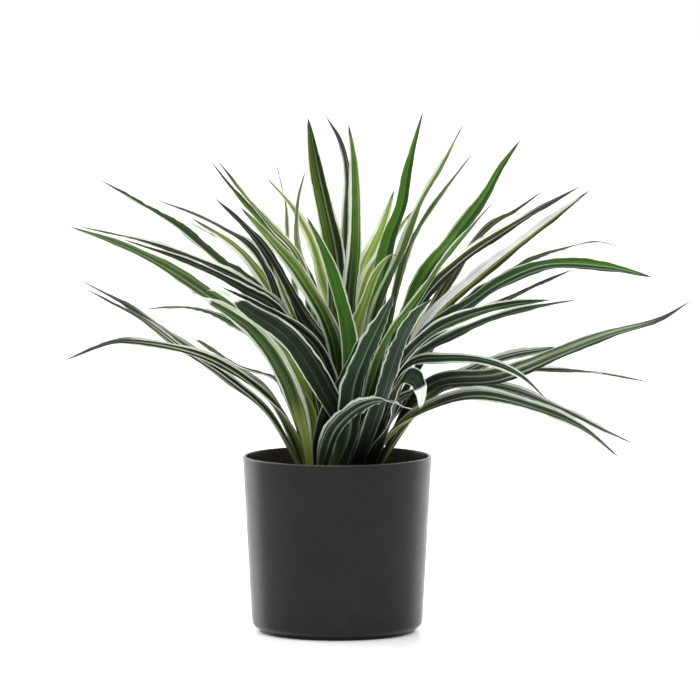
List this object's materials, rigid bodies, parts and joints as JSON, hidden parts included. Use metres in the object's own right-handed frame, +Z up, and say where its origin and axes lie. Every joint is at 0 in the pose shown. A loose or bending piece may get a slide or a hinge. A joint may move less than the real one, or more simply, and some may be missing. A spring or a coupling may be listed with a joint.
{
  "type": "potted spider plant",
  "caption": "Spider plant with green, cream-edged strap leaves arching out of one crown, in soil in a tapered round charcoal pot that stands on its flat foot",
  "frame": {"origin": "the middle of the pot's flat foot, on the surface that the pot stands on", "axes": "+Z up the pot's axis, -Y the pictured front, +X to the right seen from the front"},
  "size_m": [0.4931, 0.4006, 0.4105],
  "materials": {
    "pot": "satin charcoal, moulded",
    "soil": "moist dark potting soil with bark crumbs",
    "crown": "pale yellow-green fibrous rootstock",
    "leaf": "green leaf with cream margins, satin upper side and dull lower side"
  },
  "bodies": {
    "root": {"pot": "pot", "soil": "soil", "crown": "crown", "leaf_01": "leaf", "leaf_02": "leaf", "leaf_03": "leaf", "leaf_04": "leaf", "leaf_05": "leaf", "leaf_06": "leaf", "leaf_07": "leaf", "leaf_08": "leaf", "leaf_09": "leaf", "leaf_10": "leaf", "leaf_11": "leaf", "leaf_12": "leaf", "leaf_13": "leaf", "leaf_14": "leaf", "leaf_15": "leaf", "leaf_16": "leaf", "leaf_17": "leaf", "leaf_18": "leaf", "leaf_19": "leaf", "leaf_20": "leaf", "leaf_21": "leaf", "leaf_22": "leaf", "leaf_23": "leaf", "leaf_24": "leaf", "leaf_25": "leaf", "leaf_26": "leaf", "leaf_27": "leaf", "leaf_28": "leaf", "leaf_29": "leaf", "leaf_30": "leaf", "leaf_31": "leaf", "leaf_32": "leaf", "leaf_33": "leaf", "leaf_34": "leaf", "leaf_35": "leaf", "leaf_36": "leaf", "leaf_37": "leaf", "leaf_38": "leaf", "leaf_39": "leaf", "leaf_40": "leaf", "leaf_41": "leaf", "leaf_42": "leaf", "leaf_43": "leaf", "leaf_44": "leaf", "leaf_45": "leaf", "leaf_46": "leaf", "leaf_47": "leaf", "leaf_48": "leaf", "leaf_49": "leaf", "leaf_50": "leaf", "leaf_51": "leaf", "leaf_52": "leaf", "leaf_53": "leaf", "leaf_54": "leaf", "leaf_55": "leaf", "leaf_56": "leaf", "leaf_57": "leaf"}
  },
  "joints": []
}
